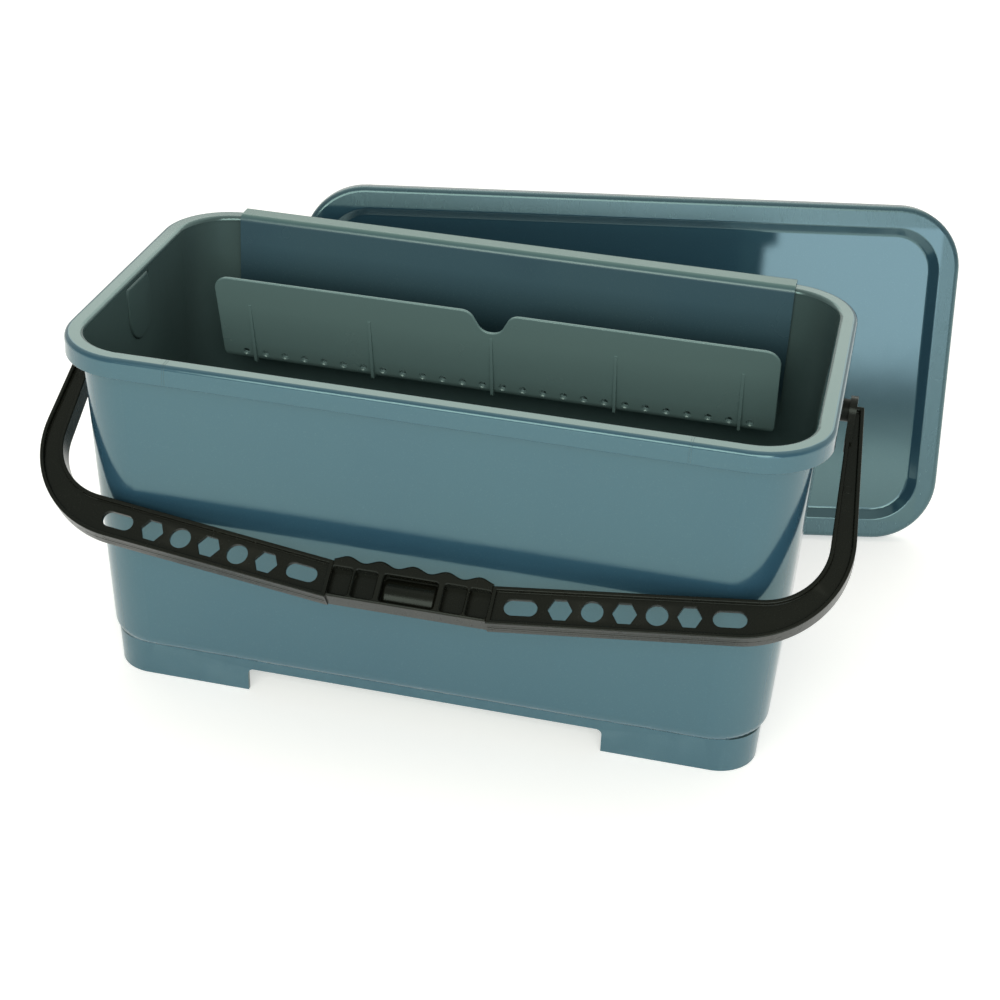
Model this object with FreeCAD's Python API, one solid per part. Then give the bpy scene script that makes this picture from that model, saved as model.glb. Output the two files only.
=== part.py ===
import FreeCAD, Part
import math
import os

os.makedirs("parts", exist_ok=True)

# Rectangular cleaning bucket with a hooked-in drain sieve, a swinging bail handle and a loose lid.
# Millimetres. Z is up, the bucket stands on z = 0, and the frame's origin is the middle of its foot.
# X runs along the bucket, the handle rests in front of it (-Y) and the lid stands behind it (+Y).

# Bucket shell
RIM_LENGTH = 480.0
RIM_WIDTH = 252.0
HEIGHT = 245.0
RIM_CORNER = 47.0
RIM_BAND = 12.0          # from the rim's outer edge to the inner wall face
RIM_DROP = 13.5          # depth of the turned-down skirt
RIM_ROUND = 3.2
RIM_INNER_ROUND = 2.6
SKIRT_ROUND = 0.7
WALL = 2.4
WALL_INSET = RIM_BAND - WALL
DRAFT = 0.0386           # sideways run of a wall per unit of height
FOOT_HEIGHT = 24.5
FOOT_LENGTH = 435.0
FOOT_WIDTH = 203.0
FOOT_CORNER = 27.0
FOOT_WALL = 2.6
FOOT_FLARE = 1.0
FLOOR = 3.0
SHOULDER_ROUND = 9.0
NOTCH_LENGTH = 239.0
NOTCH_HEIGHT = 17.5
NOTCH_ROUND = 4.0
FOOT_EDGE_ROUND = 0.6

# Handle pivots in the end walls
PIVOT_Z = 217.8
PAD_RADIUS = 21.0
PAD_FACE_X = 231.6
PAD_RECESS = 2.0         # the inner hollow is this much narrower than the pad all round
PAD_WALL = 2.8
PAD_ROOT = 8.0          # how far the pad's block reaches back into the wall
RECESS_ROOT = 12.0      # how far the pad's inner hollow starts behind its face
PIVOT_HOLE = 4.58        # radius
PIN_RADIUS = 4.5
COLLAR_RADIUS = 7.2
PIN_HEAD_RADIUS = 7.5
PIN_HEAD = 2.2
PIN_HEAD_BEVEL = 1.2
PIN_GAP = 0.3
SPIGOT_RADIUS = 4.0

# Handle: flat bail, drawn with u along X and r away from the pivot axis
REST_ANGLE = 35.0        # degrees below level, towards the front
BAIL_HALF_DEPTH = 7.0
SEAM_U = 50.5
ARM_INNER_U = 244.0
ARM_WIDTH_TOP = 9.0
ARM_INNER_CORNER = (246.6, 134.6)
ARM_OUTER_CORNER = (266.6, 158.3)
ARM_INNER_SEAM_R = 157.5
ARM_OUTER_SEAM_R = 182.4
ARM_INNER_ROUND = 40.0
ARM_OUTER_ROUND = 69.0
ARM_TOP_ROUNDS = (1.0, 0.6)
FLANGE = 2.6
REST_GAP = 0.45          # left between the arms' flattened back edges and the front wall
WEB_FRONT = 4.3          # the web's front face, this far in front of the pivot axis
WEB = 2.5
LIP_ROUND = 0.7
HOLE_ROUND = 0.45
EYE_RADIUS = 9.6
EYE = 4.5
EYE_REACH = 26.0
EYE_GAP = 0.02           # round the spigot, which is a press fit
HOLE_PITCH = 19.35
HOLE_FIRST_U = 93.0
SLOT_STEP = 23.8
HOLE_RADIUS = 6.8
HEX_RADIUS = 7.6         # to its corners, two of which point along the arm
HEX_ROUND = 0.8
SLOT_LENGTH = 20.5
SLOT_RADIUS = 5.2

# Hand grip between the arms
GRIP_OUTER_R = 181.2
WAVE_PEAK_R = 153.1
WAVE_HEIGHT = 3.1
WAVE_PITCH = 20.9
POCKET_INNER_R = 161.0
POCKET_OUTER_R = 179.2
POCKET_FLOOR = 1.0
POCKET_CORNER = 2.0
POCKETS = ((0.0, 34.6), (28.2, 14.2), (43.7, 13.4))    # centre and length, mirrored
WAVE_STEPS = 80
MOUTH_CHAMFER = 0.6
CROWN_RISE = 3.6         # the middle pocket's pad, above the pocket's floor
CROWN_MARGIN = 0.5       # between that pad and the pocket's sides
CROWN_ROUND = 2.2
GRIP_WEB = 2.2
GRIP_ROUND = 1.2
CHANNEL_ROUND = 3.0
TONGUE = 7.0
TONGUE_ROOT = 6.0
TONGUE_DEPTH = 3.0
TONGUE_ROUND = 2.0
FIT_GAP = 0.1

# Sieve insert: hook over the back rim, back panel, narrow floor and a flap that leans forwards
SIEVE_HALF = 195.5
SIEVE_WALL = 2.2
SIEVE_GAP = 0.9          # to the inner wall and to the rim's outer edge
HOOK_GAP = 0.4           # to the rim's top
HOOK_DROP = 10.0
HOOK_OUTER_ROUND = 4.6
HOOK_INNER_ROUND = 2.4
HOOK_TIP_ROUND = 0.8
SIEVE_FLOOR_Z = 155.0
FLAP_FOOT_Y = 76.0
FLAP_TOP_Y = 55.5
FLAP_TOP_Z = 225.5
FLAP_TOP_ROUND = 11.0
FLAP_FOOT_ROUND = 8.0
FLAP_EDGE_ROUND = 0.8
FLOOR_HALF = 181.0
TROUGH_ROUND = 8.0       # outside, where the flap turns under into the floor
TROUGH_FILL = 5.0        # the inner corner's fill, along the floor and up the flap
RIB_PITCH = 85.8
RIB_WIDTH = 2.0
RIB_REACH = 0.69         # share of the flap's height
RIB_PROUD = (0.4, 3.0)   # at its top and at its foot
RIB_FOOT_ROUND = 2.5
RIB_START = 1.0          # above the flap's foot
DRAIN_COUNT = 26
DRAIN_PITCH = 14.3
DRAIN_RADIUS = 2.2
DRAIN_SINK = 0.7         # countersink round each drain hole on the flap's front
DRAIN_RISE = 8.5
FLOOR_ROWS = (85.0, 97.0)
FINGER_WIDTH = 28.8
FINGER_FOOT = 12.0
FINGER_DEPTH = 17.2
FINGER_ROUNDS = (8.5, 9.0)    # at the notch's bottom and at its shoulders

# Lid, modelled flat with its outer face up, then stood behind the bucket
LID_LENGTH = 486.2
LID_WIDTH = 255.2
LID_CORNER = 46.4
LID_DEPTH = 13.0
LID_WALL = 1.5
LID_ROUND = 4.0
RECESS_LENGTH = 455.2
RECESS_WIDTH = 224.2
RECESS_CORNER = 33.0
RECESS_DEPTH = 5.5
RECESS_RUN = 6.2         # the sloped step's width
RECESS_RIM_ROUND = 1.6
RECESS_FOOT_ROUND = 3.0
LID_EDGE_ROUND = 0.6
LID_X = 80.0
LID_Y = 173.8
LID_YAW = 13.4
LID_LEAN = 13.2

OVER = 5.0               # how far a cutting form runs past what it cuts


def vec(x, y, z=0.0):
    return FreeCAD.Vector(x, y, z)


def rounded_rect(length, width, radius, z):
    """A horizontal rounded rectangle centred on the Z axis, as a wire."""
    x = length / 2
    y = width / 2
    corners = [(x, y), (-x, y), (-x, -y), (x, -y)]
    return rounded_polygon(corners, [radius] * 4, z)


def unit(a, b):
    """The direction from a to b, and the distance."""
    dx = b[0] - a[0]
    dy = b[1] - a[1]
    size = math.hypot(dx, dy)
    return dx / size, dy / size, size


def rounded_polygon(points, radii, z=0.0):
    """A closed wire of straight runs with a tangent arc at each corner that has a radius."""
    edges = []
    ends = []
    count = len(points)
    for i, (corner, radius) in enumerate(zip(points, radii)):
        if radius <= 0:
            ends.append((corner, corner, None))
            continue
        px, py, _ = unit(corner, points[i - 1])
        nx, ny, _ = unit(corner, points[(i + 1) % count])
        half = math.acos(max(-1.0, min(1.0, px * nx + py * ny))) / 2
        reach = radius / math.tan(half)
        bx, by, _ = unit((0, 0), (px + nx, py + ny))
        deep = radius / math.sin(half) - radius
        start = (corner[0] + px * reach, corner[1] + py * reach)
        end = (corner[0] + nx * reach, corner[1] + ny * reach)
        middle = (corner[0] + bx * deep, corner[1] + by * deep)
        ends.append((start, end, middle))
    for i, (start, end, middle) in enumerate(ends):
        if middle:
            edges.append(Part.Arc(vec(*start, z), vec(*middle, z), vec(*end, z)).toShape())
        following = ends[(i + 1) % count][0]
        if math.dist(end, following) > 1e-6:
            edges.append(Part.LineSegment(vec(*end, z), vec(*following, z)).toShape())
    return Part.Wire(edges)


def loft(wires):
    """A solid with straight sides from each wire to the next."""
    return Part.makeLoft(wires, True, True)


def prism(wire, height):
    """The flat region inside a horizontal wire, raised by height."""
    return Part.Face(wire).extrude(vec(0, 0, height))


def edges_at(shape, z, tolerance=0.01):
    """The edges that lie flat at height z."""
    return [e for e in shape.Edges
            if abs(e.BoundBox.ZMin - z) < tolerance and abs(e.BoundBox.ZMax - z) < tolerance]


def wall_section(z, inset):
    """The bucket wall's outline at height z, moved inwards by inset."""
    shrink = WALL_INSET + DRAFT * (HEIGHT - z) + inset
    corner = RIM_CORNER - WALL_INSET - inset
    return rounded_rect(RIM_LENGTH - 2 * shrink, RIM_WIDTH - 2 * shrink, corner, z)


def foot_section(z, inset):
    """The foot's outline at height z, which is widest at its top."""
    grow = FOOT_FLARE * z / FOOT_HEIGHT - inset
    return rounded_rect(FOOT_LENGTH + 2 * grow, FOOT_WIDTH + 2 * grow, FOOT_CORNER - inset, z)


def pad_outline(side, radius, x0, x1, top):
    """A U-shaped block on an end wall, hanging from height top around the pivot."""
    block = Part.makeBox(x1 - x0, 2 * radius, top - PIVOT_Z, vec(x0, -radius, PIVOT_Z))
    bottom = Part.makeCylinder(radius, x1 - x0, vec(x0, 0, PIVOT_Z), vec(1, 0, 0))
    pad = block.fuse(bottom)
    return pad if side > 0 else pad.mirror(vec(0, 0, 0), vec(1, 0, 0))


def foot():
    """The inset foot skirt, open below, with a notch in its front and back."""
    skirt = loft([foot_section(0, 0), foot_section(FOOT_HEIGHT + FLOOR / 2, 0)])
    hollow = loft([foot_section(-OVER, FOOT_WALL), foot_section(FOOT_HEIGHT, FOOT_WALL)])
    half = NOTCH_LENGTH / 2
    corners = [(-half, -OVER), (half, -OVER), (half, NOTCH_HEIGHT), (-half, NOTCH_HEIGHT)]
    notch = Part.Face(rounded_polygon(corners, [0, 0, NOTCH_ROUND, NOTCH_ROUND]))
    notch = notch.extrude(vec(0, 0, 2 * FOOT_WIDTH))
    notch.rotate(vec(0, 0, 0), vec(1, 0, 0), 90)
    notch.translate(vec(0, FOOT_WIDTH, 0))
    return skirt.cut(hollow).cut(notch)


def rim():
    """The flat rim with its turned-down skirt, as a cap over the wall."""
    low = HEIGHT - RIM_DROP
    cap = prism(rounded_rect(RIM_LENGTH, RIM_WIDTH, RIM_CORNER, low), RIM_DROP)
    cap = cap.makeFillet(RIM_ROUND, edges_at(cap, HEIGHT))
    under = rounded_rect(RIM_LENGTH - 2 * WALL, RIM_WIDTH - 2 * WALL, RIM_CORNER - WALL, low)
    return cap.cut(prism(under, RIM_DROP - WALL))


def bucket_shell():
    """The one-piece tub: wall, floor, rounded shoulder, foot, rim and pivot pads."""
    outside = loft([wall_section(FOOT_HEIGHT, 0), wall_section(HEIGHT, 0)])
    outside = outside.makeFillet(SHOULDER_ROUND, edges_at(outside, FOOT_HEIGHT))
    inside = loft([wall_section(FOOT_HEIGHT + FLOOR, WALL), wall_section(HEIGHT + OVER, WALL)])
    inside = inside.makeFillet(SHOULDER_ROUND - WALL, edges_at(inside, FOOT_HEIGHT + FLOOR))
    shell = outside.fuse([rim(), foot()])
    pads = [pad_outline(side, PAD_RADIUS, PAD_FACE_X - PAD_ROOT, PAD_FACE_X, HEIGHT - WALL / 2)
            for side in (1, -1)]
    shell = shell.fuse(pads).cut(inside)
    for side in (1, -1):
        shell = shell.cut(pad_hollow(side)).cut(pivot_bore(side))
    return soften_shell(shell.removeSplitter())


def pad_hollow(side):
    """The hollow behind a pivot pad, open to the inside of the bucket."""
    return pad_outline(side, PAD_RADIUS - PAD_RECESS, PAD_FACE_X - RECESS_ROOT, PAD_FACE_X - PAD_WALL,
                       HEIGHT - 2 * WALL)


def pivot_bore(side):
    """The hole for a pivot pin through its pad."""
    start = vec(side * (PAD_FACE_X - RECESS_ROOT), 0, PIVOT_Z)
    return Part.makeCylinder(PIVOT_HOLE, 2 * RECESS_ROOT, start, vec(side, 0, 0))


def soften_shell(shell):
    """Rounds the rim's inner edge, the skirt's lower edges and the foot's standing edges."""
    inside = RIM_LENGTH / 2 - RIM_BAND / 2
    inner = [e for e in edges_at(shell, HEIGHT) if e.BoundBox.XMax < inside]
    shell = shell.makeFillet(RIM_INNER_ROUND, inner)
    shell = shell.makeFillet(SKIRT_ROUND, edges_at(shell, HEIGHT - RIM_DROP))
    return shell.makeFillet(FOOT_EDGE_ROUND, edges_at(shell, 0))


def pivot_pin(side):
    """A snap rivet: head inside the wall, shank through it, collar outside it, spigot in the arm's eye."""
    wall_in = PAD_FACE_X - PAD_WALL - PIN_GAP
    wall_out = PAD_FACE_X + PIN_GAP
    profile = [
        (wall_in - PIN_HEAD, 0), (wall_in - PIN_HEAD, PIN_HEAD_RADIUS - PIN_HEAD_BEVEL),
        (wall_in - PIN_HEAD + PIN_HEAD_BEVEL, PIN_HEAD_RADIUS), (wall_in, PIN_HEAD_RADIUS),
        (wall_in, PIN_RADIUS), (wall_out, PIN_RADIUS),
        (wall_out, COLLAR_RADIUS), (ARM_INNER_U - FIT_GAP, COLLAR_RADIUS),
        (ARM_INNER_U - FIT_GAP, SPIGOT_RADIUS), (ARM_INNER_U + EYE, SPIGOT_RADIUS),
        (ARM_INNER_U + EYE, 0),
    ]
    face = Part.Face(rounded_polygon(profile, [0] * len(profile)))
    pin = face.revolve(vec(0, 0, 0), vec(1, 0, 0), 360)
    pin.translate(vec(0, 0, PIVOT_Z))
    return pin if side > 0 else pin.mirror(vec(0, 0, 0), vec(1, 0, 0))


def inset_polygon(points, margins):
    """Each edge of a counter-clockwise polygon, moved inwards by its own margin."""
    lines = []
    count = len(points)
    for i in range(count):
        a = points[i]
        dx, dy, _ = unit(a, points[(i + 1) % count])
        lines.append((a[0] - dy * margins[i], a[1] + dx * margins[i], dx, dy))
    moved = []
    for i in range(count):
        ax, ay, adx, ady = lines[i - 1]
        bx, by, bdx, bdy = lines[i]
        along = ((bx - ax) * bdy - (by - ay) * bdx) / (adx * bdy - ady * bdx)
        moved.append((ax + adx * along, ay + ady * along))
    return moved


def arm_outline(margin, seam_margin):
    """The right arm's outline in the bail plane, moved inwards; y is minus the distance from the pivot."""
    points = [
        (SEAM_U, -ARM_OUTER_SEAM_R),
        (ARM_OUTER_CORNER[0], -ARM_OUTER_CORNER[1]),
        (ARM_INNER_U + ARM_WIDTH_TOP, 0),
        (ARM_INNER_U, 0),
        (ARM_INNER_CORNER[0], -ARM_INNER_CORNER[1]),
        (SEAM_U, -ARM_INNER_SEAM_R),
    ]
    edge_margins = [margin] * 5 + [seam_margin]
    radii = [0, ARM_OUTER_ROUND - margin, *ARM_TOP_ROUNDS, ARM_INNER_ROUND + margin, 0]
    return rounded_polygon(inset_polygon(points, edge_margins), radii)


def slab(wire, low, high):
    """The region inside a wire, between two depths of the bail."""
    body = Part.Face(wire).extrude(vec(0, 0, high - low))
    body.translate(vec(0, 0, low))
    return body


def arm_middle_r(u):
    """The distance from the pivot axis to the middle of the arm's straight stretch at u."""
    run = (u - SEAM_U) / (ARM_OUTER_CORNER[0] - SEAM_U)
    outer = ARM_OUTER_SEAM_R + run * (ARM_OUTER_CORNER[1] - ARM_OUTER_SEAM_R)
    run = (u - SEAM_U) / (ARM_INNER_CORNER[0] - SEAM_U)
    inner = ARM_INNER_SEAM_R + run * (ARM_INNER_CORNER[1] - ARM_INNER_SEAM_R)
    return (outer + inner) / 2


def through(wire, u):
    """A hole through the web, centred on the arm's middle line at u and turned along it."""
    slope = arm_middle_r(u) - arm_middle_r(u + 1)
    hole = slab(wire, -BAIL_HALF_DEPTH - OVER, BAIL_HALF_DEPTH + OVER)
    hole.rotate(vec(0, 0, 0), vec(0, 0, 1), math.degrees(math.atan(slope)))
    hole.translate(vec(u, -arm_middle_r(u), 0))
    return hole


def arm_holes():
    """Slot, hexagon, round, hexagon, round, hexagon, slot, from the grip outwards."""
    slot_half = SLOT_LENGTH / 2
    box = [(slot_half, SLOT_RADIUS), (-slot_half, SLOT_RADIUS),
           (-slot_half, -SLOT_RADIUS), (slot_half, -SLOT_RADIUS)]
    hexagon = [(HEX_RADIUS * math.cos(k * math.pi / 3), HEX_RADIUS * math.sin(k * math.pi / 3))
               for k in range(6)]
    slot = rounded_polygon(box, [SLOT_RADIUS * 0.998] * 4)
    six_sided = rounded_polygon(hexagon, [HEX_ROUND] * 6)
    circle = Part.Wire(Part.makeCircle(HOLE_RADIUS))
    holes = [through(slot, HOLE_FIRST_U - SLOT_STEP)]
    for k in range(5):
        holes.append(through(circle if k % 2 else six_sided, HOLE_FIRST_U + k * HOLE_PITCH))
    holes.append(through(slot, HOLE_FIRST_U + 4 * HOLE_PITCH + SLOT_STEP))
    return holes


def arm_eye():
    """The rounded eye at the arm's top, in the plane of its inner flange."""
    tab = Part.makeBox(EYE, EYE_REACH, 2 * BAIL_HALF_DEPTH, vec(ARM_INNER_U, -EYE_REACH, -BAIL_HALF_DEPTH))
    ring = Part.makeCylinder(EYE_RADIUS, EYE, vec(ARM_INNER_U, 0, 0), vec(1, 0, 0))
    return tab.fuse(ring)


def handle_arm(side):
    """One arm: flanges on both edges, a web between them with a row of holes, and the eye."""
    depth = BAIL_HALF_DEPTH
    body = slab(arm_outline(0, 0), -depth, depth)
    front = slab(arm_outline(FLANGE, FLANGE), WEB_FRONT, depth + OVER)
    back = slab(arm_outline(FLANGE, -OVER), -depth - OVER, WEB_FRONT - WEB)
    arm = body.cut(front)
    arm = arm.makeFillet(LIP_ROUND, edges_at(arm, depth))
    arm = arm.cut([back] + arm_holes())
    arm = arm.makeFillet(LIP_ROUND, edges_at(arm, -depth))
    hole_edges = [e for e in edges_at(arm, WEB_FRONT) if e.Length < SLOT_LENGTH]
    arm = arm.makeFillet(HOLE_ROUND, hole_edges).fuse(arm_eye())
    hole_start = vec(ARM_INNER_U - OVER, 0, 0)
    spigot_hole = Part.makeCylinder(SPIGOT_RADIUS + EYE_GAP, EYE_REACH, hole_start, vec(1, 0, 0))
    arm = arm.cut(spigot_hole).removeSplitter()
    arm = in_place(arm if side > 0 else arm.mirror(vec(0, 0, 0), vec(1, 0, 0)))
    return arm.cut(wall_relief())


def wall_relief():
    """The bucket wall's outer form with the rest gap round it; the arms are flattened where they meet it."""
    return loft([wall_section(2 * FOOT_HEIGHT, -REST_GAP), wall_section(HEIGHT - RIM_DROP, -REST_GAP)])


def in_place(shape):
    """From the bail's own plane to its rest position in front of the bucket."""
    shape.rotate(vec(0, 0, 0), vec(1, 0, 0), REST_ANGLE)
    shape.translate(vec(0, 0, PIVOT_Z))
    return shape


def wave_edge():
    """The finger-wave edge of the grip as one smooth curve from the left seam to the right."""
    points = []
    for k in range(WAVE_STEPS + 1):
        u = SEAM_U * (2 * k / WAVE_STEPS - 1)
        dip = WAVE_HEIGHT * (1 - math.cos(2 * math.pi * u / WAVE_PITCH)) / 2
        points.append(vec(u, -(WAVE_PEAK_R + dip)))
    curve = Part.BSplineCurve()
    curve.interpolate(points)
    return curve.toShape(), points[0], points[-1]


def grip_outline():
    """The grip seen square on: waves on the pivot side and straight on the other."""
    wave, left, right = wave_edge()
    low_left = vec(-SEAM_U, -GRIP_OUTER_R)
    low_right = vec(SEAM_U, -GRIP_OUTER_R)
    sides = [(right, low_right), (low_right, low_left), (low_left, left)]
    return Part.Wire([wave] + [Part.LineSegment(a, b).toShape() for a, b in sides])


def pocket_wire(centre, length, grow, z):
    """A pocket's outline, made larger all round by grow."""
    half = length / 2 + grow
    inner = POCKET_INNER_R - grow
    outer = POCKET_OUTER_R + grow
    corners = [(centre + half, -inner), (centre - half, -inner),
               (centre - half, -outer), (centre + half, -outer)]
    return rounded_polygon(corners, [POCKET_CORNER + grow] * 4, z)


def pocket(centre, length):
    """A front pocket of the grip, open towards the front, with a chamfered mouth."""
    depth = BAIL_HALF_DEPTH
    well = slab(pocket_wire(centre, length, 0, 0), POCKET_FLOOR, depth)
    mouth = loft([pocket_wire(centre, length, 0, depth - MOUTH_CHAMFER),
                  pocket_wire(centre, length, 2 * MOUTH_CHAMFER, depth + MOUTH_CHAMFER)])
    return well.fuse(mouth)


def grip_crown(length):
    """The bulged pad inside the middle pocket: a slice of a cylinder along u."""
    width = POCKET_OUTER_R - POCKET_INNER_R - 2 * CROWN_MARGIN
    radius = (width * width / 4 + CROWN_RISE * CROWN_RISE) / (2 * CROWN_RISE)
    middle = -(POCKET_INNER_R + POCKET_OUTER_R) / 2
    end = length / 2 - CROWN_MARGIN
    start = vec(-end, middle, POCKET_FLOOR + CROWN_RISE - radius)
    cylinder = Part.makeCylinder(radius, 2 * end, start, vec(1, 0, 0))
    corner = vec(-length / 2, middle - width / 2, POCKET_FLOOR / 2)
    keep = Part.makeBox(length, width, CROWN_RISE + OVER, corner)
    crown = cylinder.common(keep)
    arcs = [e for e in crown.Edges if e.BoundBox.XLength < 0.01 and e.BoundBox.ZMax > POCKET_FLOOR + 1]
    return crown.makeFillet(CROWN_ROUND, arcs)


def tongue(side):
    """The flat tongue that plugs into an arm's back channel."""
    inner = ARM_INNER_SEAM_R + FLANGE + FIT_GAP
    outer = ARM_OUTER_SEAM_R - FLANGE - FIT_GAP
    slope = arm_middle_r(SEAM_U) - arm_middle_r(SEAM_U + 1)
    rise = TONGUE_ROOT * slope
    drop = TONGUE * slope
    points = [(SEAM_U - TONGUE_ROOT, -outer - rise), (SEAM_U + TONGUE, -outer + drop),
              (SEAM_U + TONGUE, -inner + drop), (SEAM_U - TONGUE_ROOT, -inner - rise)]
    top = WEB_FRONT - WEB - FIT_GAP
    plug = slab(rounded_polygon(points, [0, TONGUE_ROUND, TONGUE_ROUND, 0]), top - TONGUE_DEPTH, top)
    return plug if side > 0 else plug.mirror(vec(0, 0, 0), vec(1, 0, 0))


def hand_grip():
    """The waved middle of the bail: five pockets in front, a channel behind, a tongue at each end."""
    depth = BAIL_HALF_DEPTH
    body = slab(grip_outline(), -depth, depth)
    body = body.makeFillet(GRIP_ROUND, edges_at(body, depth))
    middle, length = POCKETS[0]
    pockets = [pocket(middle, length)]
    for centre, width in POCKETS[1:]:
        pockets += [pocket(centre, width), pocket(-centre, width)]
    half = SEAM_U - FLANGE
    inner = WAVE_PEAK_R + WAVE_HEIGHT + FLANGE
    corners = [(half, -inner), (-half, -inner), (-half, FLANGE - GRIP_OUTER_R), (half, FLANGE - GRIP_OUTER_R)]
    channel = slab(rounded_polygon(corners, [CHANNEL_ROUND] * 4), -depth - OVER, POCKET_FLOOR - GRIP_WEB)
    grip = body.cut(channel).fuse([tongue(1), tongue(-1)]).cut(pockets).fuse(grip_crown(length))
    return in_place(grip.removeSplitter())


def panel_back(z):
    """The back face of the sieve's back panel, just clear of the bucket's inner wall."""
    return RIM_WIDTH / 2 - RIM_BAND - DRAFT * (HEIGHT - z) - SIEVE_GAP


def along_x(points, radii, half):
    """A Y-Z section swept along X from -half to half."""
    section = Part.Face(rounded_polygon(points, radii))
    section.rotate(vec(0, 0, 0), vec(1, 0, 0), 90)
    section.rotate(vec(0, 0, 0), vec(0, 0, 1), 90)
    section.translate(vec(-half, 0, 0))
    return section.extrude(vec(2 * half, 0, 0))


def flap_frame():
    """The flap's foot point, its unit direction upwards and its length, in the Y-Z plane."""
    foot_point = (FLAP_FOOT_Y, SIEVE_FLOOR_Z)
    dy, dz, length = unit(foot_point, (FLAP_TOP_Y, FLAP_TOP_Z))
    return foot_point, dy, dz, length


def on_flap(shape):
    """From a drawing with x along the flap and y up it, to the flap's own place and lean."""
    foot_point, dy, dz, _ = flap_frame()
    shape.rotate(vec(0, 0, 0), vec(1, 0, 0), math.degrees(math.atan2(dz, dy)))
    shape.translate(vec(0, foot_point[0], foot_point[1]))
    return shape


def finger_notch(height):
    """The cut for the finger notch in the flap's top edge, in the flap's own drawing."""
    bottom = height - FINGER_DEPTH
    side = FINGER_WIDTH / 2
    wide = side + 2 * OVER
    above = height + OVER
    points = [(FINGER_FOOT / 2, bottom), (side, height), (wide, height), (wide, above),
              (-wide, above), (-wide, height), (-side, height), (-FINGER_FOOT / 2, bottom)]
    low, shoulder = FINGER_ROUNDS
    cut = prism(rounded_polygon(points, [low, shoulder, 0, 0, 0, 0, shoulder, low]), 3 * SIEVE_WALL)
    cut.translate(vec(0, 0, -SIEVE_WALL))
    return cut


def flap_sheet():
    """The front flap's sheet: rounded corners and a finger notch in its top edge."""
    height = flap_frame()[3]
    half = SIEVE_HALF
    outline = [(half, 0), (half, height), (-half, height), (-half, 0)]
    radii = [FLAP_FOOT_ROUND, FLAP_TOP_ROUND, FLAP_TOP_ROUND, FLAP_FOOT_ROUND]
    sheet = prism(rounded_polygon(outline, radii), SIEVE_WALL)
    sheet = sheet.cut(finger_notch(height)).removeSplitter()
    sheet = sheet.makeFillet(FLAP_EDGE_ROUND, edges_at(sheet, 0) + edges_at(sheet, SIEVE_WALL))
    return on_flap(sheet)


def flap_ribs():
    """Five thin ribs on the flap's front, proudest at the foot."""
    reach = flap_frame()[3] * RIB_REACH
    top, foot_proud = RIB_PROUD
    side = [(0, -SIEVE_WALL / 2), (reach, -SIEVE_WALL / 2), (reach, top), (0, foot_proud)]
    ribs = []
    for k in range(-2, 3):
        rib = Part.Face(rounded_polygon(side, [0, 0, 0, RIB_FOOT_ROUND])).extrude(vec(0, 0, RIB_WIDTH))
        rib.rotate(vec(0, 0, 0), vec(0, 0, 1), 90)
        rib.rotate(vec(0, 0, 0), vec(0, 1, 0), 90)
        rib.translate(vec(k * RIB_PITCH - RIB_WIDTH / 2, RIB_START, SIEVE_WALL))
        ribs.append(on_flap(rib))
    return ribs


def flap_drains():
    """The row of countersunk drain holes just above the flap's foot."""
    holes = []
    for k in range(DRAIN_COUNT):
        x = (k - (DRAIN_COUNT - 1) / 2) * DRAIN_PITCH
        hole = Part.makeCylinder(DRAIN_RADIUS, 4 * SIEVE_WALL, vec(x, DRAIN_RISE, -2 * SIEVE_WALL))
        sink = Part.makeCone(DRAIN_RADIUS, DRAIN_RADIUS + 2 * DRAIN_SINK, 2 * DRAIN_SINK,
                             vec(x, DRAIN_RISE, SIEVE_WALL - DRAIN_SINK))
        holes.append(on_flap(hole.fuse(sink)))
    return holes


def trough_form():
    """The space behind the flap's front face and above the floor's underside, rounded where they meet."""
    foot_point, dy, dz, height = flap_frame()
    front = foot_point[0] - SIEVE_WALL / dz
    low = foot_point[1]
    rise = 2 * height
    points = [(front, low), (front + dy * rise, low + dz * rise),
              (RIM_WIDTH, low + dz * rise), (RIM_WIDTH, low)]
    return along_x(points, [TROUGH_ROUND, 0, 0, 0], SIEVE_HALF + OVER)


def trough_fill():
    """The thickening inside the trough's corner, so that its rounded outside stays thick enough."""
    foot_point, dy, dz, _ = flap_frame()
    floor_top = foot_point[1] + SIEVE_WALL
    corner = foot_point[0] + SIEVE_WALL * dy / dz
    under = floor_top - SIEVE_WALL / 2
    points = [(corner - SIEVE_WALL / 2, under), (corner + TROUGH_FILL, under),
              (corner + TROUGH_FILL, floor_top),
              (corner + TROUGH_FILL * dy, floor_top + TROUGH_FILL * dz),
              (corner + TROUGH_FILL * dy - SIEVE_WALL / 2, floor_top + TROUGH_FILL * dz)]
    return along_x(points, [0] * 5, FLOOR_HALF)


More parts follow.
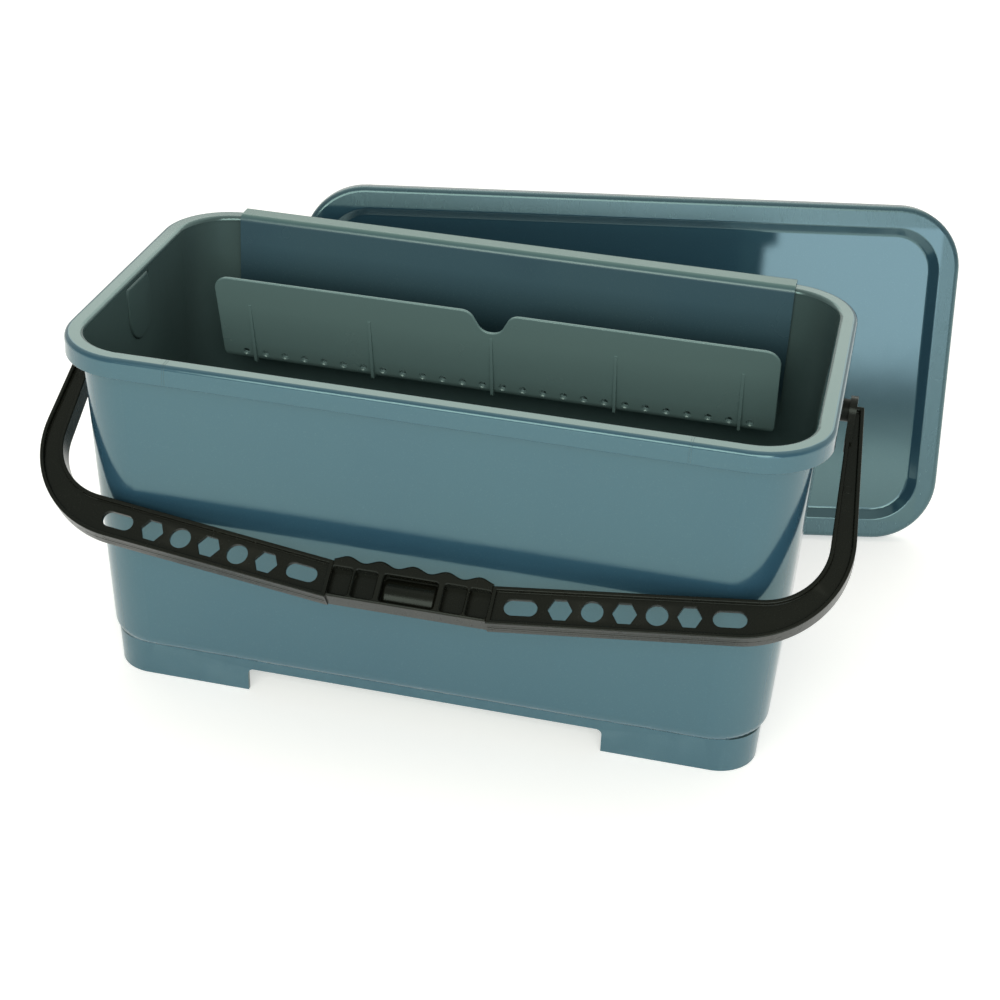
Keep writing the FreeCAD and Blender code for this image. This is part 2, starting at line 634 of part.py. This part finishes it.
def sieve_insert():
    """Hook, back panel, perforated floor and front flap in one moulding."""
    top = HEIGHT + HOOK_GAP
    outer = RIM_WIDTH / 2 + SIEVE_GAP
    front = panel_back(HEIGHT) - SIEVE_WALL
    low = SIEVE_FLOOR_Z
    panel = [
        (outer, HEIGHT - HOOK_DROP), (outer + SIEVE_WALL, HEIGHT - HOOK_DROP),
        (outer + SIEVE_WALL, top + SIEVE_WALL), (front, top + SIEVE_WALL),
        (panel_back(low) - SIEVE_WALL, low), (panel_back(low), low),
        (panel_back(HEIGHT), top), (outer, top),
    ]
    radii = [HOOK_TIP_ROUND, HOOK_TIP_ROUND, HOOK_OUTER_ROUND, HOOK_OUTER_ROUND,
             0, 0, HOOK_INNER_ROUND, HOOK_INNER_ROUND]
    back = along_x(panel, radii, SIEVE_HALF)
    base = [
        (panel_back(low) - SIEVE_WALL / 2, low), (panel_back(low) - SIEVE_WALL / 2, low + SIEVE_WALL),
        (FLAP_FOOT_Y - SIEVE_WALL / 2, low + SIEVE_WALL), (FLAP_FOOT_Y - SIEVE_WALL / 2, low),
    ]
    bottom = along_x(base, [0, 0, 0, 0], FLOOR_HALF)
    trough = bottom.fuse([flap_sheet(), trough_fill()]).common(trough_form())
    insert = back.fuse([trough] + flap_ribs()).removeSplitter()
    return insert.cut(flap_drains() + floor_drains())


def floor_drains():
    """The rows of drain holes in the sieve's floor."""
    holes = []
    for y in FLOOR_ROWS:
        for k in range(DRAIN_COUNT - 2):
            x = (k - (DRAIN_COUNT - 3) / 2) * DRAIN_PITCH
            holes.append(Part.makeCylinder(DRAIN_RADIUS, 2 * OVER, vec(x, y, SIEVE_FLOOR_Z - OVER)))
    return holes


def lid_form(inset, drop, low):
    """The lid's solid outer form, moved inwards by inset and down by drop."""
    top = -drop
    outline = rounded_rect(LID_LENGTH - 2 * inset, LID_WIDTH - 2 * inset, LID_CORNER - inset, low)
    block = prism(outline, top - low)
    block = block.makeFillet(LID_ROUND - drop / 2, edges_at(block, top))
    grow = 2 * inset
    upper = rounded_rect(RECESS_LENGTH + grow, RECESS_WIDTH + grow, RECESS_CORNER + inset, top + 0.001)
    step = grow - 2 * RECESS_RUN
    lower = rounded_rect(RECESS_LENGTH + step, RECESS_WIDTH + step,
                         RECESS_CORNER + inset - RECESS_RUN, top - RECESS_DEPTH)
    form = block.cut(loft([lower, upper]))
    rim = [e for e in edges_at(form, top) if e.BoundBox.XMax < RECESS_LENGTH / 2 + inset + LID_WALL]
    form = form.makeFillet(RECESS_RIM_ROUND + drop / 2, rim)
    return form.makeFillet(RECESS_FOOT_ROUND - drop / 2, edges_at(form, top - RECESS_DEPTH))


def lid():
    """The lid: border, sloped step down to the middle panel, and a skirt that fits over the rim."""
    shell = lid_form(0, 0, -LID_DEPTH).cut(lid_form(LID_WALL, LID_WALL, -LID_DEPTH - OVER))
    shell = shell.makeFillet(LID_EDGE_ROUND, edges_at(shell, -LID_DEPTH))
    shell.rotate(vec(0, 0, 0), vec(1, 0, 0), 90 - LID_LEAN)
    shell.rotate(vec(0, 0, 0), vec(0, 0, 1), LID_YAW)
    lean = math.radians(LID_LEAN)
    back = LID_WIDTH / 2 * math.sin(lean)
    yaw = math.radians(LID_YAW)
    height = LID_WIDTH / 2 * math.cos(lean) + LID_DEPTH * math.sin(lean)
    shell.translate(vec(LID_X - back * math.sin(yaw), LID_Y + back * math.cos(yaw), height))
    return shell


def main():
    pieces = {
        "bucket_shell": bucket_shell(),
        "pivot_pin_left": pivot_pin(-1),
        "pivot_pin_right": pivot_pin(1),
        "handle_arm_left": handle_arm(-1),
        "handle_arm_right": handle_arm(1),
        "hand_grip": hand_grip(),
        "sieve_insert": sieve_insert(),
        "lid": lid(),
    }
    for name, shape in pieces.items():
        solid = shape.Solids[0]
        print(name, len(shape.Solids), solid.isValid(), round(solid.Volume / 1000, 1), "cm3")
        solid.exportStep(f"parts/{name}.step")


main()
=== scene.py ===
import math
import bmesh
import bpy
from mathutils import Matrix, Vector


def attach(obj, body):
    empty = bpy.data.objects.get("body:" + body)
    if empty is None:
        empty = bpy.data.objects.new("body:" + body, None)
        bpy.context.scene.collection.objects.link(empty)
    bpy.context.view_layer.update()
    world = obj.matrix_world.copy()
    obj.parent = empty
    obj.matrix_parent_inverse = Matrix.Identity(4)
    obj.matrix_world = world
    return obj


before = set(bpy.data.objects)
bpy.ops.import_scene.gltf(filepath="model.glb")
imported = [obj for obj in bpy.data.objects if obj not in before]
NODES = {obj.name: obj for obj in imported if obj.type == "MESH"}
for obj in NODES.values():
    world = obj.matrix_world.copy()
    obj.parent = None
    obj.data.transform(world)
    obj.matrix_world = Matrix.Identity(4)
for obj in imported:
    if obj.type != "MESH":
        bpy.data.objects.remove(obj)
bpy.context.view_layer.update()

# Camera, from a fit of the bucket's rim and foot (degrees and metres)
CAMERA_AZIMUTH = 11.80
CAMERA_ELEVATION = 29.87
CAMERA_ROLL = 2.80
CAMERA_DISTANCE = 1.3027
CAMERA_TARGET = Vector((0.0274, -0.0155, 0.1244))
CAMERA_LENS = 70.97      # on a 36 mm sensor

FLOOR_HALF = 7.0
FLOOR_GLOW = 0.46

# The lid as it stands: its centre, its long axis, its upward axis and its recess
LID_CENTRE = sum((Vector(corner) for corner in NODES["lid"].bound_box), Vector()) / 8
LID_ALONG = Vector((0.9728, 0.2317, 0.0))
LID_UP = Vector((-0.0529, 0.2221, 0.9736))
LID_RECESS_HALF = (0.2276, 0.1121)
BORDER_FADE = (-0.001, 0.002)       # where the border's dullness starts and is full, past the recess's edge

# The bucket's rim, where the mould's parting lines cross it
RIM_FRONT_Y = -0.1260
RIM_INNER_Y = -0.1168
RIM_TOP_Z = 0.2450
RIM_EDGE_ROUND = 0.0032
SKIRT_LOW_Z = 0.2322
PARTING_X = 0.1603
PARTING_HALF_GAP = 0.0007
PARTING_BEAD = 0.00016

# The handle at rest: u runs along X, reach runs out from the pivot axis
PIVOT_Z = 0.2178
BAIL_ANGLE = math.radians(35.0)     # below the horizontal
ARM_START = (0.0515, 0.1822)
ARM_CORNER = (0.2665, 0.1582)
ARM_END = (0.2534, 0.012)
ARM_CORNER_ROUND = 0.069
ARM_CORNER_STEPS = 16
# The mould lines on the arms' outer edge: place across the edge and bead radius
FLANGE_LINES = ((-0.0030, 0.00018), (0.0, 0.00030), (0.0026, 0.00018))
WEB_FRONT = 0.0043                  # the arms' web in front of the bail's middle plane
EJECTOR_PLACES = ((0.2505, 0.057), (0.2290, 0.150))
EJECTOR_RADIUS = 0.0024
EJECTOR_BEAD = 0.00014
EJECTOR_STEPS = 32

# The caps over the pivot pins' heads
CAP_TURNS = 48
CAP_SEAT_X = 0.2287                 # the floor of the recess the cap sits in
CAP_RISE = 0.0033                   # how much taller than round the recess is
CAP_LEAN = 0.0386                   # the cap's face leans with the wall
CAP_BEND = 2.1                      # and bends back towards it at the top, per metre

# Surface detail of the plastics; noise scales are per metre
SHARP_ANGLE = math.radians(38)
DRIFT_SCALE = 11.0
SPECK_SCALE = 1100.0
SPECK_STRENGTH = 0.06
PATCH_SCALE = 60.0
RUBBED_POINTINESS = (0.515, 0.60)   # where an edge starts to look rubbed, and where it is fully rubbed
SCUFF_SCALE = 9.0
SCUFF_STRETCH = (26.0, 26.0, 3.0)
HANDLED_SCALE = 22.0
HANDLED_RANGE = (0.88, 1.15)        # times the plastic's own roughness
GRAIN_SCALE = 1500.0
GRAIN_HEIGHT = 0.12
SINK_SCALE = 18.0
SINK_HEIGHT = 0.6
BUMP_STRENGTH = 0.3
BUMP_DEPTH = 0.0004
BORDER_DULLNESS = 0.22
INSIDE_DULLNESS = 0.26
INSIDE_FADE_Z = (0.2440, 0.2405)    # the dullness starts just below the rim's top


def srgb(r, g, b):
    """A colour given as 0-255 screen values, as linear RGBA."""
    def linear(v):
        v /= 255
        return v / 12.92 if v <= 0.04045 else ((v + 0.055) / 1.055) ** 2.4
    return (linear(r), linear(g), linear(b), 1.0)


# ---------------------------------------------------------------- materials

class Nodes:
    """Short calls for building a material's node tree."""

    def __init__(self, tree):
        self.tree = tree

    def new(self, kind, **inputs):
        node = self.tree.nodes.new(kind)
        for name, value in inputs.items():
            node.inputs[name.replace("_", " ")].default_value = value
        return node

    def link(self, out, into):
        self.tree.links.new(out, into)

    def noise(self, vector, scale, detail=2.0, roughness=0.5):
        node = self.new("ShaderNodeTexNoise", Scale=scale, Detail=detail, Roughness=roughness)
        self.link(vector, node.inputs["Vector"])
        return node.outputs["Fac"]

    def stretched(self, vector, scale):
        node = self.new("ShaderNodeMapping")
        node.inputs["Scale"].default_value = scale
        self.link(vector, node.inputs["Vector"])
        return node.outputs["Vector"]

    def remap(self, value, low, high, to_low, to_high):
        node = self.new("ShaderNodeMapRange")
        node.inputs["From Min"].default_value = low
        node.inputs["From Max"].default_value = high
        node.inputs["To Min"].default_value = to_low
        node.inputs["To Max"].default_value = to_high
        self.link(value, node.inputs["Value"])
        return node.outputs["Result"]

    def math(self, operation, a, b):
        node = self.new("ShaderNodeMath")
        node.operation = operation
        for socket, value in zip(node.inputs, (a, b)):
            if isinstance(value, (int, float)):
                socket.default_value = value
            else:
                self.link(value, socket)
        return node.outputs[0]

    def mix(self, factor, a, b):
        node = self.new("ShaderNodeMix")
        node.data_type = "RGBA"
        for socket, value in zip((node.inputs[0], node.inputs[6], node.inputs[7]), (factor, a, b)):
            if isinstance(value, tuple):
                socket.default_value = value
            else:
                self.link(value, socket)
        return node.outputs[2]

    def dot(self, a, b):
        node = self.new("ShaderNodeVectorMath")
        node.operation = "DOT_PRODUCT"
        self.link(a, node.inputs[0])
        if isinstance(b, Vector):
            node.inputs[1].default_value = b
        else:
            self.link(b, node.inputs[1])
        return node.outputs["Value"]


def moulded_plastic(name, base, flow, worn, roughness, gloss, wear=0.3, scuffs=0.08, painted_light_and_shade_zones=(),
                    inside=None, dull_border=False):
    """Injection-moulded plastic: slow colour drift, a fine grain, rubbed edges and faint scuffs.

    gloss is (specular tint, IOR, specular level). A zone is (axis, from, to, strength, colour): painted
    light or shade, whose colour fades in along that axis of the object's own space. inside is a colour of
    painted light for faces that look towards the Z axis, up or down, and below the rim's top they are
    rougher too. It uses the world's directions, so it suits only an object that never turns. dull_border
    makes the lid's border rougher.
    """
    material = bpy.data.materials.new(name)
    material.use_nodes = True
    n = Nodes(material.node_tree)
    shader = material.node_tree.nodes["Principled BSDF"]
    where = n.new("ShaderNodeTexCoord").outputs["Object"]
    split = n.new("ShaderNodeSeparateXYZ")
    n.link(where, split.inputs[0])
    drift = n.noise(n.stretched(where, (1.0, 1.0, 0.45)), DRIFT_SCALE, 2.0)
    colour = n.mix(n.remap(drift, 0.35, 0.65, 0.0, 1.0), base, flow)
    # Painted light and shade: each zone lightens or darkens the colour along one axis
    for axis, start, end, strength, painted_colour in painted_light_and_shade_zones:
        colour = n.mix(n.remap(split.outputs[axis], start, end, 0.0, strength), colour, painted_colour)
    speck = n.noise(where, SPECK_SCALE, 2.0)
    colour = n.mix(n.remap(speck, 0.60, 0.80, 0.0, SPECK_STRENGTH), colour, worn)
    geometry = n.new("ShaderNodeNewGeometry")
    patchy = n.remap(n.noise(where, PATCH_SCALE, 4.0), 0.35, 0.7, 0.25, 1.0)
    rubbed = n.remap(geometry.outputs["Pointiness"], *RUBBED_POINTINESS, 0.0, wear)
    colour = n.mix(n.math("MULTIPLY", rubbed, patchy), colour, worn)
    marks = n.noise(n.stretched(where, SCUFF_STRETCH), SCUFF_SCALE, 4.0, 0.6)
    handled = n.remap(n.noise(where, HANDLED_SCALE, 4.0), 0.3, 0.7,
                      roughness * HANDLED_RANGE[0], roughness * HANDLED_RANGE[1])
    rough = n.math("ADD", n.remap(marks, 0.56, 0.74, 0.0, scuffs), handled)
    # Painted light: faces that look towards the Z axis, up or down, take the inside colour
    if inside:
        facing = n.dot(n.stretched(where, (1.0, 1.0, 0.0)), geometry.outputs["Normal"])
        inner = n.remap(facing, 0.020, 0.010, 0.0, 1.0)
        colour = n.mix(inner, colour, inside)
        below_rim = n.remap(split.outputs["Z"], *INSIDE_FADE_Z, 0.0, INSIDE_DULLNESS)
        rough = n.math("ADD", rough, n.math("MULTIPLY", inner, below_rim))
    if dull_border:
        rough = n.math("ADD", rough, n.math("MULTIPLY", lid_border(n, where), BORDER_DULLNESS))
    n.link(colour, shader.inputs["Base Color"])
    n.link(rough, shader.inputs["Roughness"])
    tint, ior, level = gloss
    shader.inputs["IOR"].default_value = ior
    shader.inputs["Specular IOR Level"].default_value = level
    shader.inputs["Specular Tint"].default_value = tint
    grain = n.math("MULTIPLY", n.noise(where, GRAIN_SCALE, 2.0), GRAIN_HEIGHT)
    sink = n.math("MULTIPLY", n.noise(where, SINK_SCALE, 2.0), SINK_HEIGHT)
    bump = n.new("ShaderNodeBump", Strength=BUMP_STRENGTH, Distance=BUMP_DEPTH)
    n.link(n.math("ADD", grain, sink), bump.inputs["Height"])
    n.link(bump.outputs["Normal"], shader.inputs["Normal"])
    return material


def lid_border(n, where):
    """1 on the lid's border and 0 inside its recess."""
    outside = []
    for axis, half in zip((LID_ALONG, LID_UP), LID_RECESS_HALF):
        offset = n.math("ABSOLUTE", n.math("SUBTRACT", n.dot(where, axis), LID_CENTRE.dot(axis)), 0.0)
        outside.append(n.remap(offset, half + BORDER_FADE[0], half + BORDER_FADE[1], 0.0, 1.0))
    return n.math("MAXIMUM", outside[0], outside[1])


def floor_material():
    """A matte near-white floor with a little glow of its own, so that shadows on it stay pale."""
    material = bpy.data.materials.new("pale_floor")
    material.use_nodes = True
    n = Nodes(material.node_tree)
    shader = material.node_tree.nodes["Principled BSDF"]
    where = n.new("ShaderNodeTexCoord").outputs["Object"]
    patch = n.remap(n.noise(where, 2.5, 3.0), 0.3, 0.7, 0.0, 1.0)
    n.link(n.mix(patch, (0.88, 0.88, 0.86, 1), (0.90, 0.90, 0.88, 1)), shader.inputs["Base Color"])
    shader.inputs["Roughness"].default_value = 0.8
    shader.inputs["Specular IOR Level"].default_value = 0.1
    shader.inputs["Emission Color"].default_value = (1.0, 1.0, 0.985, 1)
    shader.inputs["Emission Strength"].default_value = FLOOR_GLOW
    return material


def use(obj, material):
    obj.data.materials.clear()
    obj.data.materials.append(material)


def smooth(obj):
    """Smooth shading that keeps the model's real corners crisp."""
    obj.data.polygons.foreach_set("use_smooth", [True] * len(obj.data.polygons))
    obj.data.set_sharp_from_angle(angle=SHARP_ANGLE)
    weigh = obj.modifiers.new("flat_faces_stay_flat", "WEIGHTED_NORMAL")
    weigh.keep_sharp = True
    weigh.weight = 100


# ---------------------------------------------------------------- studio

def link(obj):
    bpy.context.collection.objects.link(obj)
    return obj


def floor():
    s = FLOOR_HALF
    mesh = bpy.data.meshes.new("floor")
    mesh.from_pydata([(-s, -s, 0), (s, -s, 0), (s, s, 0), (-s, s, 0)], [], [(0, 1, 2, 3)])
    obj = link(bpy.data.objects.new("floor", mesh))
    use(obj, floor_material())


def softbox(name, place, aim, size, radiance, colour=(1, 1, 1)):
    """A rectangular light. Its power grows with its area, so radiance alone sets how bright its face is."""
    data = bpy.data.lights.new(name, "AREA")
    data.shape = "RECTANGLE"
    data.size, data.size_y = size
    data.energy = radiance * math.pi * size[0] * size[1]
    data.color = colour
    lamp = link(bpy.data.objects.new(name, data))
    lamp.location = place
    lamp.rotation_euler = (Vector(aim) - Vector(place)).to_track_quat("-Z", "Y").to_euler()


def sky():
    """A white studio, brighter behind and overhead than in front. The camera sees it at full strength."""
    world = bpy.data.worlds.new("studio")
    bpy.context.scene.world = world
    world.use_nodes = True
    n = Nodes(world.node_tree)
    where = n.new("ShaderNodeTexCoord").outputs["Generated"]
    split = n.new("ShaderNodeSeparateXYZ")
    n.link(where, split.inputs[0])
    back = n.remap(split.outputs["Y"], -0.30, 0.60, 0.30, 0.8)
    overhead = n.remap(split.outputs["Z"], 0.55, 0.90, 1.0, 1.5)
    level = n.math("MULTIPLY", back, overhead)
    camera_ray = n.new("ShaderNodeLightPath").outputs["Is Camera Ray"]
    background = world.node_tree.nodes["Background"]
    background.inputs["Color"].default_value = (1.0, 0.99, 0.95, 1.0)
    n.link(n.math("MAXIMUM", level, camera_ray), background.inputs["Strength"])


def make_camera():
    az = math.radians(CAMERA_AZIMUTH)
    el = math.radians(CAMERA_ELEVATION)
    roll = math.radians(CAMERA_ROLL)
    back = Vector((math.sin(az) * math.cos(el), -math.cos(az) * math.cos(el), math.sin(el)))
    side = Vector((0, 0, 1)).cross(back).normalized()
    up = back.cross(side)
    right = side * math.cos(roll) + up * math.sin(roll)
    top = up * math.cos(roll) - side * math.sin(roll)
    data = bpy.data.cameras.new("camera")
    data.lens = CAMERA_LENS
    data.sensor_width = 36.0
    camera = link(bpy.data.objects.new("camera", data))
    turn = Matrix((right, top, back)).transposed()
    camera.matrix_world = Matrix.Translation(CAMERA_TARGET + back * CAMERA_DISTANCE) @ turn.to_4x4()
    bpy.context.scene.camera = camera


# ---------------------------------------------------------------- small details

def tube(name, points, radius, closed=False):
    """A thin bead along a line of points, as a closed mesh."""
    curve = bpy.data.curves.new(name, "CURVE")
    curve.dimensions = "3D"
    spline = curve.splines.new("POLY")
    spline.points.add(len(points) - 1)
    for target, point in zip(spline.points, points):
        target.co = (*point, 1.0)
    spline.use_cyclic_u = closed
    curve.bevel_depth = radius
    curve.bevel_resolution = 2
    curve.use_fill_caps = not closed
    holder = bpy.data.objects.new(name + "_path", curve)
    mesh = bpy.data.meshes.new_from_object(holder)
    mesh.name = name
    bpy.data.objects.remove(holder)
    mesh.polygons.foreach_set("use_smooth", [True] * len(mesh.polygons))
    return link(bpy.data.objects.new(name, mesh))


def piece(obj, body, material):
    """Gives a new piece its body and its material."""
    use(obj, material)
    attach(obj, body)


def on_bail(u, reach, proud):
    """A point of the handle at rest: u along X, reach out from the pivot axis, proud of the middle plane."""
    y = -reach * math.cos(BAIL_ANGLE) - proud * math.sin(BAIL_ANGLE)
    z = PIVOT_Z - reach * math.sin(BAIL_ANGLE) + proud * math.cos(BAIL_ANGLE)
    return (u, y, z)


def parting_line(name, side):
    """Where two halves of the mould met: a fine double line over the rim and its skirt."""
    centre_y = RIM_FRONT_Y + RIM_EDGE_ROUND
    centre_z = RIM_TOP_Z - RIM_EDGE_ROUND
    for number, shift in enumerate((-PARTING_HALF_GAP, PARTING_HALF_GAP)):
        x = side * PARTING_X + shift
        points = [(x, RIM_FRONT_Y, SKIRT_LOW_Z)]
        for step in range(7):
            turn = math.radians(15 * step)
            y = centre_y - RIM_EDGE_ROUND * math.cos(turn)
            points.append((x, y, centre_z + RIM_EDGE_ROUND * math.sin(turn)))
        points.append((x, RIM_INNER_Y, RIM_TOP_Z))
        bead = tube(f"parting_line_{name}_{number + 1}", points, PARTING_BEAD)
        piece(bead, "bucket", blue)


def arm_outer_edge():
    """The arm's outer edge from the grip to the eye, as (u, reach) points."""
    corner = Vector(ARM_CORNER)
    to_start = (Vector(ARM_START) - corner).normalized()
    to_end = (Vector(ARM_END) - corner).normalized()
    half = math.acos(to_start.dot(to_end)) / 2
    reach = ARM_CORNER_ROUND / math.tan(half)
    centre = corner + (to_start + to_end).normalized() * (ARM_CORNER_ROUND / math.sin(half))
    first = corner + to_start * reach - centre
    last = corner + to_end * reach - centre
    step = -first.angle_signed(last) / ARM_CORNER_STEPS
    arc = [centre + Matrix.Rotation(step * k, 2) @ first for k in range(ARM_CORNER_STEPS + 1)]
    return [Vector(ARM_START)] + arc + [Vector(ARM_END)]


def flange_line(name, side):
    """The fine mould line along the middle of the arm's outer edge, with its witness lines."""
    for number, (proud, radius) in enumerate(FLANGE_LINES):
        points = [on_bail(side * p.x, p.y, proud) for p in arm_outer_edge()]
        bead = tube(f"flange_line_{name}_{number + 1}", points, radius)
        piece(bead, "handle", black)


def ejector_mark(name, side):
    """Faint rings left by the mould's ejector pins on the arm's web."""
    for number, (u, reach) in enumerate(EJECTOR_PLACES):
        ring = []
        for k in range(EJECTOR_STEPS):
            turn = 2 * math.pi * k / EJECTOR_STEPS
            ring.append(on_bail(side * (u + EJECTOR_RADIUS * math.cos(turn)),
                                reach + EJECTOR_RADIUS * math.sin(turn), WEB_FRONT))
        bead = tube(f"ejector_mark_{name}_{number + 1}", ring, EJECTOR_BEAD, True)
        piece(bead, "handle", black)


def cap_ring(x, radius, upright, leans, side):
    """One ring of the pivot cap: a circle, or the U of the wall's recess when upright."""
    ring = []
    for k in range(CAP_TURNS if radius else 1):
        turn = 2 * math.pi * k / CAP_TURNS
        across = math.cos(turn)
        up = math.sin(turn)
        reach = radius
        if upright and up > 0:
            reach = min(radius / max(abs(across), 0.001), (radius + CAP_RISE) / up)
        height = reach * up
        lean = CAP_LEAN * height + CAP_BEND * max(height, 0.0) ** 2 if leans else 0.0
        ring.append((side * (x + lean), reach * across, PIVOT_Z + height))
    return ring


def pivot_cap(name, side):
    """The flat cover in the wall's U-shaped recess, over the pivot pin's head."""
    # Each ring: its X, its radius, whether it is upright (U-shaped) and whether it leans with the wall
    profile = [(CAP_SEAT_X, 0.0186, True, False), (0.2266, 0.0184, True, True), (0.2259, 0.0178, True, True),
               (0.2257, 0.0164, True, True), (0.2256, 0.0090, False, True), (0.2256, 0.0, False, True),
               (0.2261, 0.0, False, False), (0.2261, 0.0078, False, False), (0.2285, 0.0081, False, False)]
    bm = bmesh.new()
    rows = [[bm.verts.new(point) for point in cap_ring(*entry, side)] for entry in profile]
    for a, b in zip(rows, rows[1:] + rows[:1]):
        for k in range(CAP_TURNS):
            ring = [a[k % len(a)], a[(k + 1) % len(a)], b[(k + 1) % len(b)], b[k % len(b)]]
            corners = list(dict.fromkeys(ring))
            if len(corners) > 2:
                bm.faces.new(corners)
    bmesh.ops.recalc_face_normals(bm, faces=bm.faces)
    mesh = bpy.data.meshes.new("pivot_cap_" + name)
    bm.to_mesh(mesh)
    bm.free()
    cap = link(bpy.data.objects.new("pivot_cap_" + name, mesh))
    smooth(cap)
    piece(cap, "bucket", blue)


# ---------------------------------------------------------------- the object

# The gloss tints, the colour inside the bucket, the sieve's shades and the lid's dull border were tuned
# until the render matched the photograph's shading. So they hold some of its light as well as the
# plastic's own colour.
# Gloss: specular tint, IOR, specular level
CYAN_GLOSS = ((0.66, 1.0, 0.96, 1), 1.54, 1.0)
LID_GLOSS = ((0.66, 1.0, 0.96, 1), 1.60, 1.0)
SATIN = ((0.8, 1.0, 0.92, 1), 1.5, 0.8)
BLACK_GLOSS = ((0.82, 0.96, 0.88, 1), 1.45, 0.30)
PIN_GLOSS = ((0.8, 0.95, 0.85, 1), 1.40, 0.20)
# The inside colour is painted light: lighter and greener than the outside, it stands in for the light on the
# bucket's inner walls and rim top
blue = moulded_plastic("blue_grey_plastic", (0.025, 0.072, 0.109, 1), (0.027, 0.076, 0.111, 1),
                       srgb(140, 168, 175), 0.12, CYAN_GLOSS, wear=0.10, scuffs=0.05,
                       inside=(0.054, 0.086, 0.084, 1))
black = moulded_plastic("black_plastic", (0.0052, 0.0058, 0.0040, 1), (0.0078, 0.0078, 0.0050, 1),
                        srgb(92, 92, 84), 0.24, BLACK_GLOSS, wear=0.10)
# Painted shade: the sieve's back panel darkens towards its foot, where the flap and the front rim shade it
panel_foot_painted_shade = ("Z", 0.228, 0.190, 1.0, (0.014, 0.034, 0.044, 1))
# Painted light: the hook along the sieve's top is lighter and greener, as if lit from above
hook_top_painted_light = ("Z", 0.2440, 0.2480, 1.0, (0.076, 0.158, 0.142, 1))
# Painted light: the flap in front is lighter and greener, as if lit by the key light from the front
flap_painted_light = ("Y", 0.098, 0.092, 1.0, (0.168, 0.268, 0.262, 1))
# Painted shade towards the sieve's foot: a duller grey-green that darkens the lower flap
trough_painted_shade = ("Z", 0.172, 0.140, 0.8, (0.100, 0.145, 0.125, 1))
grey = moulded_plastic("sieve_plastic", (0.054, 0.110, 0.142, 1), (0.058, 0.114, 0.142, 1),
                       srgb(150, 172, 165), 0.24, SATIN, wear=0.0, scuffs=0.0,
                       painted_light_and_shade_zones=(panel_foot_painted_shade, hook_top_painted_light, flap_painted_light, trough_painted_shade))
lid_blue = moulded_plastic("lid_plastic", (0.022, 0.058, 0.082, 1), (0.024, 0.061, 0.084, 1),
                           srgb(125, 155, 162), 0.05, LID_GLOSS, scuffs=0.05, dull_border=True)
pin_black = moulded_plastic("pin_plastic", (0.0045, 0.0052, 0.0042, 1), (0.0065, 0.0068, 0.0054, 1),
                            srgb(92, 92, 84), 0.34, PIN_GLOSS, wear=0.10)
finishes = {
    "bucket_shell": blue, "sieve_insert": grey, "lid": lid_blue,
    "handle_arm_left": black, "handle_arm_right": black, "hand_grip": black,
    "pivot_pin_left": pin_black, "pivot_pin_right": pin_black,
}
for node, material in finishes.items():
    use(NODES[node], material)
    smooth(NODES[node])

for side in (-1, 1):
    name = "left" if side < 0 else "right"
    parting_line(name, side)
    flange_line(name, side)
    ejector_mark(name, side)
    pivot_cap(name, side)

floor()
sky()
softbox("key", (0.2, -2.1, 1.30), (0.0, 0.0, 0.2), (2.3, 1.2), 3.85, (1.0, 1.0, 0.93))
softbox("behind", (-0.4, 2.4, 1.75), (0.0, 0.0, 0.25), (3.2, 1.1), 1.38, (0.94, 1.0, 0.93))
softbox("front_right", (1.12, -2.0, 0.40), (0.2, 0.2, 0.2), (1.12, 0.50), 2.9, (0.80, 0.84, 1.0))
make_camera()
bpy.context.scene.view_settings.view_transform = "Standard"
